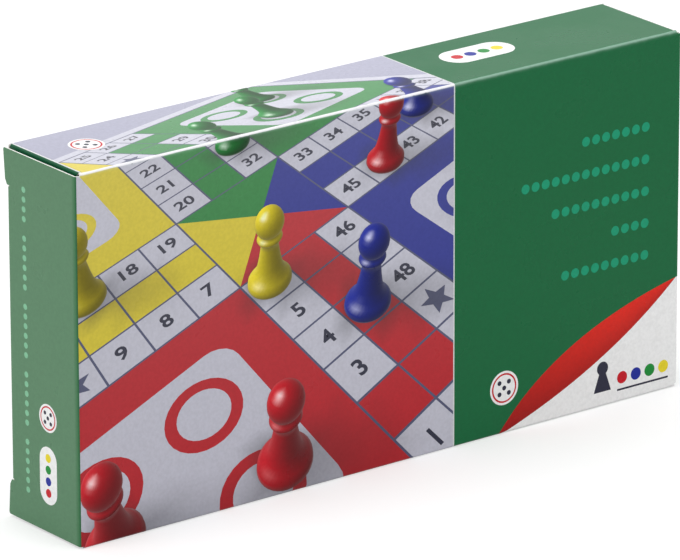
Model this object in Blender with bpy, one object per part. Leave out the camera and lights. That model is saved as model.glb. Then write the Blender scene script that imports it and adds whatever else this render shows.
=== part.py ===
"""Carton of a folding travel ludo set, with the folding case, counters, die and leaflet inside it.

Metres, +Z up. The carton stands on its long narrow bottom panel: X runs along its length, the
picture side faces -Y, and the origin is the middle of the bottom panel's underside.
"""

import math

import bmesh
import bpy
from mathutils import Vector

# Carton, outside
CARTON_LENGTH = 0.250
CARTON_DEPTH = 0.0395
CARTON_HEIGHT = 0.127
BOARD = 0.0005  # thickness of the boxboard
GLUE_FLAP_WIDTH = 0.012

# Gaps
SEAT_GAP = 0.0003  # kept between solids that touch on the real set
CUT_OVERRUN = 0.001  # how far a cutter passes the face that it cuts

# End closures, each hinged on an end of the front panel and locked by shoulders over a tuck flap
CLOSURE_GAP = 0.0016  # from a shut closure to the panel ends behind it
CLOSURE_SHORT = 0.0008  # left open above and below a shut closure
CLOSURE_TRAVEL = math.radians(180)
SHOULDER_LENGTH = 0.0105
SHOULDER_RADIUS = 0.0012
TUCK_SETBACK = 0.0018  # from the shoulders' edge to the tuck flap's fold
TUCK_LENGTH = 0.011
TUCK_CORNER_RADIUS = 0.006
TUCK_END_CLEARANCE = 0.0005

# Dust flaps, hinged on the ends of the top and bottom panels
DUST_LENGTH = 0.024
DUST_TIP_RADIUS = 0.003
DUST_TRAVEL = math.radians(90)
DUST_SIDE_CLEARANCE = 0.0005
DUST_TUCK_CLEARANCE = 0.0008

# Folding case: two trays back to back, whose outer faces are the two halves of the board
CASE_END_PLAY = 0.0010  # from the case to the dust flaps
CASE_HEADROOM = 0.0014  # over the case's hinge
CASE_TUCK_CLEARANCE = 0.0010
CASE_CORNER_RADIUS = 0.004
CASE_WALL = 0.0016
CASE_FLOOR = 0.0022
SHEET_THICKNESS = 0.0004
SHEET_MARGIN = 0.0022  # rim left round each printed sheet
SHEET_CORNER_RADIUS = 0.002
CATCH_LENGTH = 0.012
CATCH_THICKNESS = 0.0008
CATCH_REACH = 0.0015
CATCH_INSET = 0.060  # from the case's end to the middle of a catch

# Hinge of the case, along its upper edge
KNUCKLE_RADIUS = 0.0018
KNUCKLE_LENGTH = 0.008
KNUCKLE_GAP = 0.0004
PIN_RADIUS = 0.0008
PIN_CLEARANCE = 0.0002
HINGE_INSET = 0.040  # from the case's end to the middle of a hinge
KNUCKLE_SPOTS = (-1, 0, 1)  # places along a hinge, from its middle
FRONT_KNUCKLES = (-1, 1)
BACK_KNUCKLES = (0,)

# Playing pieces and leaflet
COUNTER_RADIUS = 0.006
COUNTER_THICKNESS = 0.0055
COUNTER_EDGE_RADIUS = 0.0008
MAGNET_RADIUS = 0.004
MAGNET_THICKNESS = 0.002
COUNTERS_IN_STACK = 4
STACK_PITCH = 0.016
STACK_INSET = 0.045  # from the case's end to the first stack
DIE_SIDE = 0.012
DIE_EDGE_RADIUS = 0.0012
PIP_RADIUS = 0.0011
PIP_DEPTH = 0.0004
PIP_SPACING = 0.003
LEAFLET_LENGTH = 0.148
LEAFLET_WIDTH = 0.105
LEAFLET_THICKNESS = 0.0006

# Smoothness of round shapes
ARC_STEPS = 6
RIM_STEPS = 2
TURN_STEPS = 24
PIN_STEPS = 20
SHARP_ANGLE = math.radians(40)

# Sizes that follow
X, Y, Z = range(3)
END_INSET = BOARD + CLOSURE_GAP  # the sleeve's open ends lie this far inside the closures
SLEEVE_HALF_LENGTH = CARTON_LENGTH / 2 - END_INSET
CLOSURE_HALF_HEIGHT = CARTON_HEIGHT / 2 - CLOSURE_SHORT
TUCK_FOLD = CARTON_DEPTH - TUCK_SETBACK  # depth of the tuck flap's fold, from the front face
CASE_FRONT = BOARD + SEAT_GAP
CASE_BACK = TUCK_FOLD - BOARD - CASE_TUCK_CLEARANCE
HALF_DEPTH = (CASE_BACK - CASE_FRONT - SEAT_GAP) / 2
CASE_LENGTH = 2 * (SLEEVE_HALF_LENGTH - BOARD - CASE_END_PLAY)
CASE_BOTTOM = BOARD + SEAT_GAP
CASE_TOP = CARTON_HEIGHT - BOARD - CASE_HEADROOM - KNUCKLE_RADIUS
CASE_WIDTH = CASE_TOP - CASE_BOTTOM
SHEET_RECESS = SHEET_THICKNESS + SEAT_GAP

COUNTER_COLOURS = {
    "red": (0.55, 0.02, 0.04),
    "blue": (0.03, 0.05, 0.35),
    "green": (0.02, 0.30, 0.10),
    "yellow": (0.80, 0.65, 0.04),
}
# Where a face's pips lie, as shares of the pip spacing
CORNER_PIP_SHARES = [(-1, -1), (1, 1), (-1, 1), (1, -1)]
SIDE_PIP_SHARES = [(-1, 0), (1, 0)]
CENTRE_PIP_SHARES = [(0, 0)]


def clear_scene():
    for item in list(bpy.data.objects):
        bpy.data.objects.remove(item, do_unlink=True)


def material(name, colour, roughness, metallic=0.0):
    made = bpy.data.materials.new(name)
    made.use_nodes = True
    shader = made.node_tree.nodes["Principled BSDF"]
    shader.inputs["Base Color"].default_value = (*colour, 1)
    shader.inputs["Roughness"].default_value = roughness
    shader.inputs["Metallic"].default_value = metallic
    return made


def rectangle(left, right, low, high):
    return [(left, low), (right, low), (right, high), (left, high)]


def rounded(corners, radii):
    """The corners' polygon with each corner turned into an arc of its radius, or kept at radius 0."""
    outline = []
    for index, radius in enumerate(radii):
        corner = Vector(corners[index])
        back = Vector(corners[index - 1]) - corner
        ahead = Vector(corners[(index + 1) % len(corners)]) - corner
        if not radius:
            outline.append(corner)
            continue
        half_angle = back.angle(ahead) / 2
        reach = min(radius / math.tan(half_angle), back.length / 2, ahead.length / 2)
        radius = reach * math.tan(half_angle)
        middle = back.normalized() + ahead.normalized()
        centre = corner + middle.normalized() * radius / math.sin(half_angle)
        start = corner + back.normalized() * reach - centre
        end = corner + ahead.normalized() * reach - centre
        sweep = start.angle(end)
        for step in range(ARC_STEPS + 1):
            share = step / ARC_STEPS
            spoke = start * math.sin((1 - share) * sweep) + end * math.sin(share * sweep)
            outline.append(centre + spoke / math.sin(sweep))
    return outline


def circle(radius, steps, centre=(0, 0)):
    turns = [2 * math.pi * step / steps for step in range(steps)]
    return [(centre[0] + radius * math.cos(t), centre[1] + radius * math.sin(t)) for t in turns]


def finish(name, bm, location, look):
    """The bmesh as a shaded object, placed in the world."""
    bmesh.ops.recalc_face_normals(bm, faces=bm.faces)
    mesh = bpy.data.meshes.new(name)
    bm.to_mesh(mesh)
    bm.free()
    mesh.shade_smooth()
    mesh.set_sharp_from_angle(angle=SHARP_ANGLE)
    made = bpy.data.objects.new(name, mesh)
    made.location = location
    bpy.context.collection.objects.link(made)
    if look:
        mesh.materials.append(look)
    return made


def plate(name, outline, axis, low, high, location=(0, 0, 0), look=None):
    """A solid with this outline across the axis, from one level to the other along it."""
    bm = bmesh.new()
    across = [other for other in (X, Y, Z) if other != axis]
    rings = []
    for level in (low, high):
        ring = []
        for point in outline:
            place = Vector((0, 0, 0))
            place[axis] = level
            place[across[0]], place[across[1]] = point
            ring.append(bm.verts.new(place))
        rings.append(ring)
        bm.faces.new(ring)
    first, last = rings
    for index in range(len(outline)):
        bm.faces.new((first[index - 1], first[index], last[index], last[index - 1]))
    return finish(name, bm, location, look)


def turned(name, profile, look):
    """A solid turned about Z from (radius, height) points that start and end on the axis."""
    bm = bmesh.new()
    rings = []
    for radius, height in profile:
        if radius:
            ring = [bm.verts.new((x, y, height)) for x, y in circle(radius, TURN_STEPS)]
        else:
            ring = [bm.verts.new((0, 0, height))] * TURN_STEPS
        rings.append(ring)
    for upper, lower in zip(rings, rings[1:]):
        for index in range(TURN_STEPS):
            corners = (upper[index - 1], upper[index], lower[index], lower[index - 1])
            bm.faces.new(dict.fromkeys(corners))
    return finish(name, bm, (0, 0, 0), look)


def combine(target, tool, operation):
    """Adds or cuts away the tool, which is left out of the render."""
    tool.hide_render = True
    tool.display_type = "WIRE"
    tool.parent = target
    tool.location = tool.location - target.location
    step = target.modifiers.new(tool.name, "BOOLEAN")
    step.operation = operation
    step.object = tool


def carry(parent, child):
    """Parents the child to the piece that carries it, where it stands."""
    child.parent = parent
    child.location = child.location - parent.location


def build_sleeve(printed, plain):
    """Front, back, top and bottom panels, and the glue flap inside the back panel."""
    front = -CARTON_DEPTH / 2
    back = CARTON_DEPTH / 2
    between = back - BOARD - SEAT_GAP
    ends = (-SLEEVE_HALF_LENGTH, SLEEVE_HALF_LENGTH)
    whole = (-CARTON_LENGTH / 2, CARTON_LENGTH / 2)
    plate("front_panel", rectangle(*whole, 0, CARTON_HEIGHT), Y, 0, BOARD, (0, front, 0), printed)
    plate("back_panel", rectangle(*ends, 0, CARTON_HEIGHT), Y, -BOARD, 0, (0, back, 0), printed)
    level = rectangle(*ends, -between, between)
    plate("bottom_panel", level, Z, 0, BOARD, (0, 0, 0), printed)
    plate("top_panel", level, Z, -BOARD, 0, (0, 0, CARTON_HEIGHT), printed)

    foot = BOARD + SEAT_GAP
    long_half = SLEEVE_HALF_LENGTH - BOARD - 2 * DUST_SIDE_CLEARANCE
    short_half = CARTON_LENGTH / 2 - TUCK_LENGTH - 2 * TUCK_END_CLEARANCE
    outline = [
        (-long_half, foot),
        (long_half, foot),
        (short_half, foot + GLUE_FLAP_WIDTH),
        (-short_half, foot + GLUE_FLAP_WIDTH),
    ]
    glued = (0, back - BOARD - SEAT_GAP, 0)
    plate("glue_flap", outline, Y, -BOARD, 0, glued, plain)


def closure_outline():
    """Depth from the front face against height from the middle: a shoulder, the fold, a shoulder."""
    hinge = BOARD + SEAT_GAP
    shoulder = CLOSURE_HALF_HEIGHT - SHOULDER_LENGTH
    fold = shoulder - TUCK_SETBACK
    upper = [
        (TUCK_FOLD, fold, 0),
        (CARTON_DEPTH, shoulder, 0),
        (CARTON_DEPTH, CLOSURE_HALF_HEIGHT, SHOULDER_RADIUS),
        (hinge, CLOSURE_HALF_HEIGHT, 0),
    ]
    lower = [(depth, -height, radius) for depth, height, radius in reversed(upper)]
    points = lower + upper
    return rounded([point[:2] for point in points], [point[2] for point in points])


def dust_outline(upright):
    """Depth against height from the crease. The hinge side slopes, to stay behind the closure."""
    crease = BOARD + SEAT_GAP
    front = BOARD + DUST_SIDE_CLEARANCE
    back = CARTON_DEPTH - BOARD - DUST_SIDE_CLEARANCE
    beside_tuck = TUCK_FOLD - BOARD - DUST_TUCK_CLEARANCE
    lock = CLOSURE_SHORT + SHOULDER_LENGTH
    slope = DUST_TRAVEL / CLOSURE_TRAVEL
    points = [
        (front, crease, 0),
        (back, crease, 0),
        (back, lock - (back - beside_tuck), 0),
        (beside_tuck, lock, 0),
        (beside_tuck, DUST_LENGTH, DUST_TIP_RADIUS),
        (front + slope * DUST_LENGTH, DUST_LENGTH, DUST_TIP_RADIUS),
    ]
    outline = rounded([point[:2] for point in points], [point[2] for point in points])
    return [(depth, upright * height) for depth, height in outline]


def build_end(side, name, printed):
    """One end of the carton: closure, its tuck flap, and the dust flaps behind it."""
    front = -CARTON_DEPTH / 2
    outer = side * CARTON_LENGTH / 2
    middle = CARTON_HEIGHT / 2
    hinge = (outer, front, middle)
    closure = plate(f"{name}_closure", closure_outline(), X, 0, -side * BOARD, hinge, printed)

    tip = side * (BOARD - TUCK_LENGTH)
    root = -side * SEAT_GAP
    half = CLOSURE_HALF_HEIGHT - SHOULDER_LENGTH - TUCK_SETBACK - TUCK_END_CLEARANCE
    radii = (0, TUCK_CORNER_RADIUS, TUCK_CORNER_RADIUS, 0)
    outline = rounded(rectangle(root, tip, -half, half), radii)
    fold = (outer - side * BOARD, front + TUCK_FOLD - BOARD, middle)
    carry(closure, plate(f"{name}_tuck_flap", outline, Y, 0, BOARD, fold, printed))

    crease = side * SLEEVE_HALF_LENGTH
    for level, height, upright in (("top", CARTON_HEIGHT, -1), ("bottom", 0, 1)):
        outline = dust_outline(upright)
        flap = f"{name}_dust_flap_{level}"
        plate(flap, outline, X, 0, -side * BOARD, (crease, front, height), printed)


def hinge_places():
    spread = CASE_LENGTH / 2 - HINGE_INSET
    return (("left", -spread), ("right", spread))


def hinge_rod(name, radius, middle, length, depth):
    """A round rod along the case's hinge line, at a depth from the front face."""
    axis = (depth - CARTON_DEPTH / 2, CASE_TOP)
    outline = circle(radius, PIN_STEPS, axis)
    return plate(name, outline, X, middle - length / 2, middle + length / 2)


def build_case_half(name, outer, facing, knuckles, plastic):
    """One tray. Its playing face lies at the outer depth, and it opens towards the other tray."""
    middle = (CASE_TOP + CASE_BOTTOM) / 2
    place = (0, outer - CARTON_DEPTH / 2, middle)
    length = CASE_LENGTH / 2
    width = CASE_WIDTH / 2

    def slab(label, inset, radius, low, high):
        box = rectangle(inset - length, length - inset, inset - width, width - inset)
        outline = rounded(box, [radius] * len(box))
        return plate(f"{name}_{label}", outline, Y, facing * low, facing * high, place)

    tray = slab("body", 0, CASE_CORNER_RADIUS, 0, HALF_DEPTH)
    tray.name = name
    tray.data.materials.append(plastic)
    past = HALF_DEPTH + CUT_OVERRUN
    cavity = slab("cavity", CASE_WALL, CASE_CORNER_RADIUS - CASE_WALL / 2, CASE_FLOOR, past)
    combine(tray, cavity, "DIFFERENCE")
    inset = SHEET_MARGIN - SEAT_GAP
    recess = slab("recess", inset, SHEET_CORNER_RADIUS + SEAT_GAP, -CUT_OVERRUN, SHEET_RECESS)
    combine(tray, recess, "DIFFERENCE")

    axis = outer + facing * (HALF_DEPTH + SEAT_GAP / 2)
    pitch = KNUCKLE_LENGTH + KNUCKLE_GAP
    for side, centre in hinge_places():
        for spot in KNUCKLE_SPOTS:
            own = spot in knuckles
            label = f"{name}_{side}_{'knuckle' if own else 'clearance'}_{spot}"
            radius = KNUCKLE_RADIUS if own else KNUCKLE_RADIUS + SEAT_GAP
            reach = KNUCKLE_LENGTH if own else KNUCKLE_LENGTH + 2 * SEAT_GAP
            rod = hinge_rod(label, radius, centre + spot * pitch, reach, axis)
            combine(tray, rod, "UNION" if own else "DIFFERENCE")
        reach = len(KNUCKLE_SPOTS) * pitch + CUT_OVERRUN
        bore = hinge_rod(f"{name}_{side}_bore", PIN_RADIUS + PIN_CLEARANCE, centre, reach, axis)
        combine(tray, bore, "DIFFERENCE")
    return tray


def add_catches(front_half, back_half):
    """Tongues on the front tray's lower wall, which snap into notches in the back tray's."""
    parting = CASE_FRONT + HALF_DEPTH - CARTON_DEPTH / 2
    spread = CASE_LENGTH / 2 - CATCH_INSET
    inner = CASE_BOTTOM + CASE_WALL
    for side, centre in (("left", -spread), ("right", spread)):
        half = CATCH_LENGTH / 2
        outline = rectangle(centre - half, centre + half, inner - CATCH_THICKNESS, inner)
        root = parting - CUT_OVERRUN
        tongue = plate(f"catch_tongue_{side}", outline, Y, root, parting + CATCH_REACH)
        combine(front_half, tongue, "UNION")
        half = CATCH_LENGTH / 2 + SEAT_GAP
        low, high = CASE_BOTTOM - CUT_OVERRUN, inner + CUT_OVERRUN
        outline = rectangle(centre - half, centre + half, low, high)
        notch = plate(f"catch_notch_{side}", outline, Y, parting, parting + CATCH_REACH + SEAT_GAP)
        combine(back_half, notch, "DIFFERENCE")


def build_case(plastic, printed_steel, steel):
    """Two trays with a printed sheet in each outer face, joined by two pins along the upper edge."""
    front_half = build_case_half("case_front_half", CASE_FRONT, 1, FRONT_KNUCKLES, plastic)
    back_half = build_case_half("case_back_half", CASE_BACK, -1, BACK_KNUCKLES, plastic)
    add_catches(front_half, back_half)

    middle = (CASE_TOP + CASE_BOTTOM) / 2
    length = CASE_LENGTH / 2 - SHEET_MARGIN
    width = CASE_WIDTH / 2 - SHEET_MARGIN
    outline = rounded(rectangle(-length, length, -width, width), [SHEET_CORNER_RADIUS] * 4)
    for name, outer, facing in (("front", CASE_FRONT, 1), ("back", CASE_BACK, -1)):
        place = (0, outer - CARTON_DEPTH / 2, middle)
        thick = facing * SHEET_THICKNESS
        plate(f"playing_face_{name}", outline, Y, 0, thick, place, printed_steel)

    for side, centre in hinge_places():
        reach = len(KNUCKLE_SPOTS) * (KNUCKLE_LENGTH + KNUCKLE_GAP) - KNUCKLE_GAP
        axis = CASE_FRONT + HALF_DEPTH + SEAT_GAP / 2
        pin = hinge_rod(f"hinge_pin_{side}", PIN_RADIUS, centre, reach, axis)
        pin.data.materials.append(steel)


def counter_profile():
    """Top face, rounded rim and the magnet's seat in the underside."""
    seat = MAGNET_RADIUS + SEAT_GAP
    depth = MAGNET_THICKNESS + SEAT_GAP
    flat = COUNTER_RADIUS - COUNTER_EDGE_RADIUS
    quarter = [math.pi / 2 * step / RIM_STEPS for step in range(RIM_STEPS + 1)]
    rim = [(flat + COUNTER_EDGE_RADIUS * math.sin(t), COUNTER_EDGE_RADIUS * math.cos(t)) for t in quarter]
    top = COUNTER_THICKNESS - COUNTER_EDGE_RADIUS
    upper = [(radius, top + height) for radius, height in rim]
    lower = [(radius, COUNTER_EDGE_RADIUS - height) for radius, height in reversed(rim)]
    return [(0, COUNTER_THICKNESS), *upper, *lower, (seat, 0), (seat, depth), (0, depth)]


def build_counters(magnet_metal):
    """A stack of magnetic counters for each colour, on the lower wall of the front tray."""
    floor = CASE_FRONT + CASE_FLOOR - CARTON_DEPTH / 2
    depth = floor + SEAT_GAP + COUNTER_RADIUS
    standing = CASE_BOTTOM + CASE_WALL + SEAT_GAP
    first = STACK_INSET - CASE_LENGTH / 2
    for stack, (colour, tint) in enumerate(COUNTER_COLOURS.items()):
        plastic = material(f"counter_{colour}", tint, 0.3)
        for level in range(COUNTERS_IN_STACK):
            foot = standing + level * (COUNTER_THICKNESS + SEAT_GAP)
            place = Vector((first + stack * STACK_PITCH, depth, foot))
            number = level + 1
            counter = turned(f"counter_{colour}_{number}", counter_profile(), plastic)
            counter.location = place
            outline = circle(MAGNET_RADIUS, TURN_STEPS)
            name = f"magnet_{colour}_{number}"
            magnet = plate(name, outline, Z, 0, MAGNET_THICKNESS, place, magnet_metal)
            carry(counter, magnet)


def build_die(plastic):
    """A die with rounded edges, whose opposite faces add up to seven."""
    half = DIE_SIDE / 2
    floor = CASE_FRONT + CASE_FLOOR - CARTON_DEPTH / 2
    across = CASE_LENGTH / 2 - STACK_INSET
    standing = CASE_BOTTOM + CASE_WALL + SEAT_GAP
    place = Vector((across, floor + SEAT_GAP + half, standing + half))
    bm = bmesh.new()
    bmesh.ops.create_cube(bm, size=DIE_SIDE)
    bmesh.ops.bevel(
        bm, geom=bm.edges[:], offset=DIE_EDGE_RADIUS, segments=ARC_STEPS // 2, profile=0.5, affect="EDGES"
    )
    die = finish("die", bm, place, plastic)

    faces = {
        1: (Z, 1, CENTRE_PIP_SHARES),
        6: (Z, -1, CORNER_PIP_SHARES + SIDE_PIP_SHARES),
        2: (X, 1, CORNER_PIP_SHARES[:2]),
        5: (X, -1, CORNER_PIP_SHARES + CENTRE_PIP_SHARES),
        3: (Y, -1, CORNER_PIP_SHARES[:2] + CENTRE_PIP_SHARES),
        4: (Y, 1, CORNER_PIP_SHARES),
    }
    # A ball of this radius, sunk by the pip's depth, leaves a dimple of the pip's radius
    ball = (PIP_RADIUS**2 + PIP_DEPTH**2) / (2 * PIP_DEPTH)
    bm = bmesh.new()
    for axis, sign, shares in faces.values():
        for first, second in shares:
            spot = Vector((first * PIP_SPACING, second * PIP_SPACING))
            centre = [0, 0, 0]
            centre[axis] = sign * (half + ball - PIP_DEPTH)
            centre[axis - 2], centre[axis - 1] = spot
            new = bmesh.ops.create_icosphere(bm, subdivisions=2, radius=ball)
            bmesh.ops.translate(bm, verts=new["verts"], vec=centre)
    combine(die, finish("die_pips", bm, place, None), "DIFFERENCE")


def build_leaflet(paper):
    """The folded rules, standing on the bottom panel between the case and the back panel."""
    outline = rectangle(-LEAFLET_LENGTH / 2, LEAFLET_LENGTH / 2, 0, LEAFLET_WIDTH)
    place = (0, CASE_BACK + SEAT_GAP - CARTON_DEPTH / 2, BOARD + SEAT_GAP)
    plate("rules_leaflet", outline, Y, 0, LEAFLET_THICKNESS, place, paper)


def main():
    clear_scene()
    printed = material("printed_board", (0.02, 0.12, 0.055), 0.3)
    plain = material("plain_board", (0.62, 0.60, 0.56), 0.8)
    plastic = material("case_plastic", (0.03, 0.03, 0.035), 0.45)
    printed_steel = material("printed_steel", (0.55, 0.55, 0.65), 0.35, 0.2)
    steel = material("pin_steel", (0.60, 0.60, 0.62), 0.3, 1.0)
    magnet_metal = material("magnet_metal", (0.45, 0.45, 0.47), 0.3, 1.0)
    ivory = material("die_plastic", (0.85, 0.84, 0.82), 0.25)
    paper = material("leaflet_paper", (0.80, 0.80, 0.78), 0.7)

    build_sleeve(printed, plain)
    for side, name in ((-1, "left"), (1, "right")):
        build_end(side, name, printed)
    build_case(plastic, printed_steel, steel)
    build_counters(magnet_metal)
    build_die(ivory)
    build_leaflet(paper)


main()
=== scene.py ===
import math

import bmesh
import bpy
from mathutils import Matrix, Vector
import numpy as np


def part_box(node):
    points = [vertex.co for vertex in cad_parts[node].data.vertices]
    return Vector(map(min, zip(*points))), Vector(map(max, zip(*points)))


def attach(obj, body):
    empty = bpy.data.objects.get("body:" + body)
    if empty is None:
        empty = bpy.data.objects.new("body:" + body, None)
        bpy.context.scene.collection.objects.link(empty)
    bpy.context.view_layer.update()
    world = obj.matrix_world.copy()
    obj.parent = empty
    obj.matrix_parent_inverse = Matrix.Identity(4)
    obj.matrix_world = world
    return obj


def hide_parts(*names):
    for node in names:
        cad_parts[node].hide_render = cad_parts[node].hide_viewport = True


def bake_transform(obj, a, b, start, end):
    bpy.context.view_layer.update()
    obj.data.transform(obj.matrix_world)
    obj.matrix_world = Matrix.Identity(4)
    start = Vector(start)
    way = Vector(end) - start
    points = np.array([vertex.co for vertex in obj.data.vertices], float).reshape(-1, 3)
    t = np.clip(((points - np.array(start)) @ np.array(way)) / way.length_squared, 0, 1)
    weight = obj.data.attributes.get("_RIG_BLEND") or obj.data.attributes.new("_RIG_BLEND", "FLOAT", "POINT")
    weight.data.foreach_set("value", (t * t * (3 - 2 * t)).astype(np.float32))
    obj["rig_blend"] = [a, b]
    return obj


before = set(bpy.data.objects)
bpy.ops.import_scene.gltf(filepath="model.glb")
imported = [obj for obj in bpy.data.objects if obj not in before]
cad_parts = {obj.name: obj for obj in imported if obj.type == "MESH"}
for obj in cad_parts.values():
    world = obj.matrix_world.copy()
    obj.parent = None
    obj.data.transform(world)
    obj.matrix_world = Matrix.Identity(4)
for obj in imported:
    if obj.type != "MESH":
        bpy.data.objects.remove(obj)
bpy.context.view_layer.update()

# Sleeve. Front, top, back and bottom panels of one die-cut blank of half-millimetre
# boxboard, printed and laminated outside and bare inside. It is drawn flat, as it is
# cut, and then folded round at its creases.
MM = 0.001
BOARD = 0.5 * MM
INK_ROOM = 0.12 * MM  # how far the bare printed face lies inside the carton's outermost face
INK_LAYER = 0.011 * MM  # between one layer of ink and the next
CREASE = 0.9 * MM  # outer radius of a fold
BY_CREASE = 0.4 * MM  # flat strip kept beside each fold
RUB_AND_HIGHLIGHT_REACH = 2.6 * MM  # how far before a fold its print is rubbed and lit by a painted highlight
FOLD_STEPS = 4
SHARP = math.radians(35)

(left, front, _), (right, _, height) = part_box("front_panel")
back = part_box("back_panel")[1].y
depth = back - front
open_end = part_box("top_panel")[1].x


def printed(red, green, blue):
    """A printed colour, given as 8-bit screen values."""
    shares = [value / 255 for value in (red, green, blue)]
    return [((share + 0.055) / 1.055) ** 2.4 if share > 0.04 else share / 12.92 for share in shares]


GREEN = (0.001, 0.126, 0.038)
MINT = (0.004, 0.310, 0.160)
WHITE = (0.70, 0.74, 0.73)


def flat_sheet():
    """An empty flat sheet, whose corners hold their ink, their layer and how much a crease rubs them and
    paints a highlight on them.
    """
    bm = bmesh.new()
    bm.verts.layers.float_color.new("print")
    bm.verts.layers.float.new("layer")
    bm.verts.layers.float.new("crease")
    return bm


def paint(bm, verts, colour, layer=0):
    """Inks these corners of a flat sheet."""
    ink = bm.verts.layers.float_color["print"]
    level = bm.verts.layers.float["layer"]
    for vert in verts:
        vert[ink] = (*colour, 1)
        vert[level] = layer


def shape(bm, points, colour, layer=0):
    """A flat patch of one ink, on its layer, from its corners in order."""
    verts = [bm.verts.new((x, y, layer * INK_LAYER)) for x, y in points]
    bm.faces.new(verts)
    paint(bm, verts, colour)
    return verts


def cut(bm, place, normal, clear=False):
    """Cuts the sheet across at the place. With clear, what lies the way the normal points comes off."""
    bmesh.ops.bisect_plane(
        bm, geom=bm.verts[:] + bm.edges[:] + bm.faces[:], dist=1e-6,
        plane_co=place, plane_no=normal, clear_outer=clear,
    )


def crease(at, corner, along, outward, wear_and_highlight=0.0):
    """A fold line at this place along the flat blank. On the folded carton it runs through the corner, and
    the blank comes to it going along, with its print facing outward. The last value is how far it is rubbed
    pale and given a painted highlight."""
    return at, Vector(corner), Vector(along), Vector(outward), wear_and_highlight


def score(bm, creases):
    """Cuts a flat blank or its ink across where each fold's rubbing and painted highlight start and where it
    bends and ends.
    """
    rolls = [CREASE * (2 * step / FOLD_STEPS - 1) for step in range(FOLD_STEPS + 1)]
    reach = [vert.co.y for vert in bm.verts]
    for at, *_ in creases:
        for offset in (-RUB_AND_HIGHLIGHT_REACH, -CREASE - BY_CREASE, *rolls, CREASE + BY_CREASE):
            if min(reach) < at + offset < max(reach):
                cut(bm, (0, at + offset, 0), (0, 1, 0))


def fold(bm, creases):
    """Folds a scored blank or its ink: x runs along the fold lines, y across them, z above the print."""
    worn_and_lit = bm.verts.layers.float["crease"]
    for vert in bm.verts:
        across, place, lift = vert.co
        at, corner, along, outward, wear_and_highlight = min(creases, key=lambda line: abs(place - line[0]))
        travel = place - at
        turn = min(max((travel + CREASE) / (2 * CREASE), 0), 1) * math.pi / 2
        spoke = outward * math.cos(turn) + along * math.sin(turn)
        point = corner - (along + outward) * CREASE + spoke * (CREASE - INK_ROOM + lift)
        if travel < -CREASE:
            point += along * (travel + CREASE)
        elif travel > CREASE:
            point -= outward * (travel - CREASE)
        vert.co = point + along.cross(outward) * across
        # A fold rubs the print pale and paints a highlight on it, far before the fold and a little past it
        if travel < 0:
            vert[worn_and_lit] = max(0, 1 + travel / RUB_AND_HIGHLIGHT_REACH) ** 2 * wear_and_highlight
        else:
            vert[worn_and_lit] = max(0, 1 - travel / (CREASE + BY_CREASE)) * wear_and_highlight


def piece(name, bm, *materials):
    """The finished mesh as an object at the origin."""
    mesh = bpy.data.meshes.new(name)
    bm.to_mesh(mesh)
    bm.free()
    for material in materials:
        mesh.materials.append(material)
    mesh.shade_smooth()
    mesh.set_sharp_from_angle(angle=SHARP)
    made = bpy.data.objects.new(name, mesh)
    bpy.context.collection.objects.link(made)
    return made


def thicken(sheet, thickness):
    """Gives a folded sheet its thickness, inwards. Its second material is inside, its third on cut edges."""
    solid = sheet.modifiers.new("board", "SOLIDIFY")
    solid.thickness = thickness
    solid.offset = -1
    solid.use_even_offset = True
    solid.material_offset = 1
    solid.material_offset_rim = 2
    depsgraph = bpy.context.evaluated_depsgraph_get()
    mesh = bpy.data.meshes.new_from_object(sheet.evaluated_get(depsgraph))
    sheet.modifiers.clear()
    sheet.data = mesh
    mesh.set_sharp_from_angle(angle=SHARP)


def finish(name, roughness, ior=1.45):
    """A new material with its Principled shader, and where its patterns lie: in the object's own metres."""
    made = bpy.data.materials.new(name)
    made.use_nodes = True
    tree = made.node_tree
    shader = tree.nodes["Principled BSDF"]
    shader.inputs["Roughness"].default_value = roughness
    shader.inputs["IOR"].default_value = ior
    where = tree.nodes.new("ShaderNodeTexCoord").outputs["Object"]
    return made, tree, shader, where


def feed(tree, socket, value):
    """Sets a socket to a number, a colour or a vector, or links another node's output to it."""
    if isinstance(value, (int, float)):
        socket.default_value = value
    elif isinstance(value, tuple):
        socket.default_value = (*value, 1) if socket.type == "RGBA" else value
    else:
        tree.links.new(value, socket)


def noise(tree, where, scale, detail=2, roughness=0.5):
    """Cloudy noise, with a length of one over the scale."""
    made = tree.nodes.new("ShaderNodeTexNoise")
    made.inputs["Detail"].default_value = detail
    made.inputs["Roughness"].default_value = roughness
    feed(tree, made.inputs["Scale"], scale)
    feed(tree, made.inputs["Vector"], where)
    return made.outputs["Fac"]


def drawn_out(tree, where, stretch):
    """The place scaled along each axis: a pattern on it is longer where the scale is less."""
    made = tree.nodes.new("ShaderNodeMapping")
    feed(tree, made.inputs["Scale"], stretch)
    feed(tree, made.inputs["Vector"], where)
    return made.outputs["Vector"]


def spread(tree, value, low, high, to_low=0, to_high=1):
    """The value's range from low to high, spread over the new range and held at its ends."""
    made = tree.nodes.new("ShaderNodeMapRange")
    made.interpolation_type = "SMOOTHSTEP"
    for socket, number in zip(("From Min", "From Max", "To Min", "To Max"), (low, high, to_low, to_high)):
        feed(tree, made.inputs[socket], number)
    feed(tree, made.inputs["Value"], value)
    return made.outputs["Result"]


def sums(tree, operation, first, second):
    made = tree.nodes.new("ShaderNodeMath")
    made.operation = operation
    feed(tree, made.inputs[0], first)
    feed(tree, made.inputs[1], second)
    return made.outputs[0]


def mixed(tree, share, first, second, blend="MIX"):
    """The two colours mixed by the share."""
    made = tree.nodes.new("ShaderNodeMix")
    made.data_type = "RGBA"
    made.blend_type = blend
    for socket, value in zip(("Factor", 6, 7), (share, first, second)):
        feed(tree, made.inputs[socket], value)
    return made.outputs[2]


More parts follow.
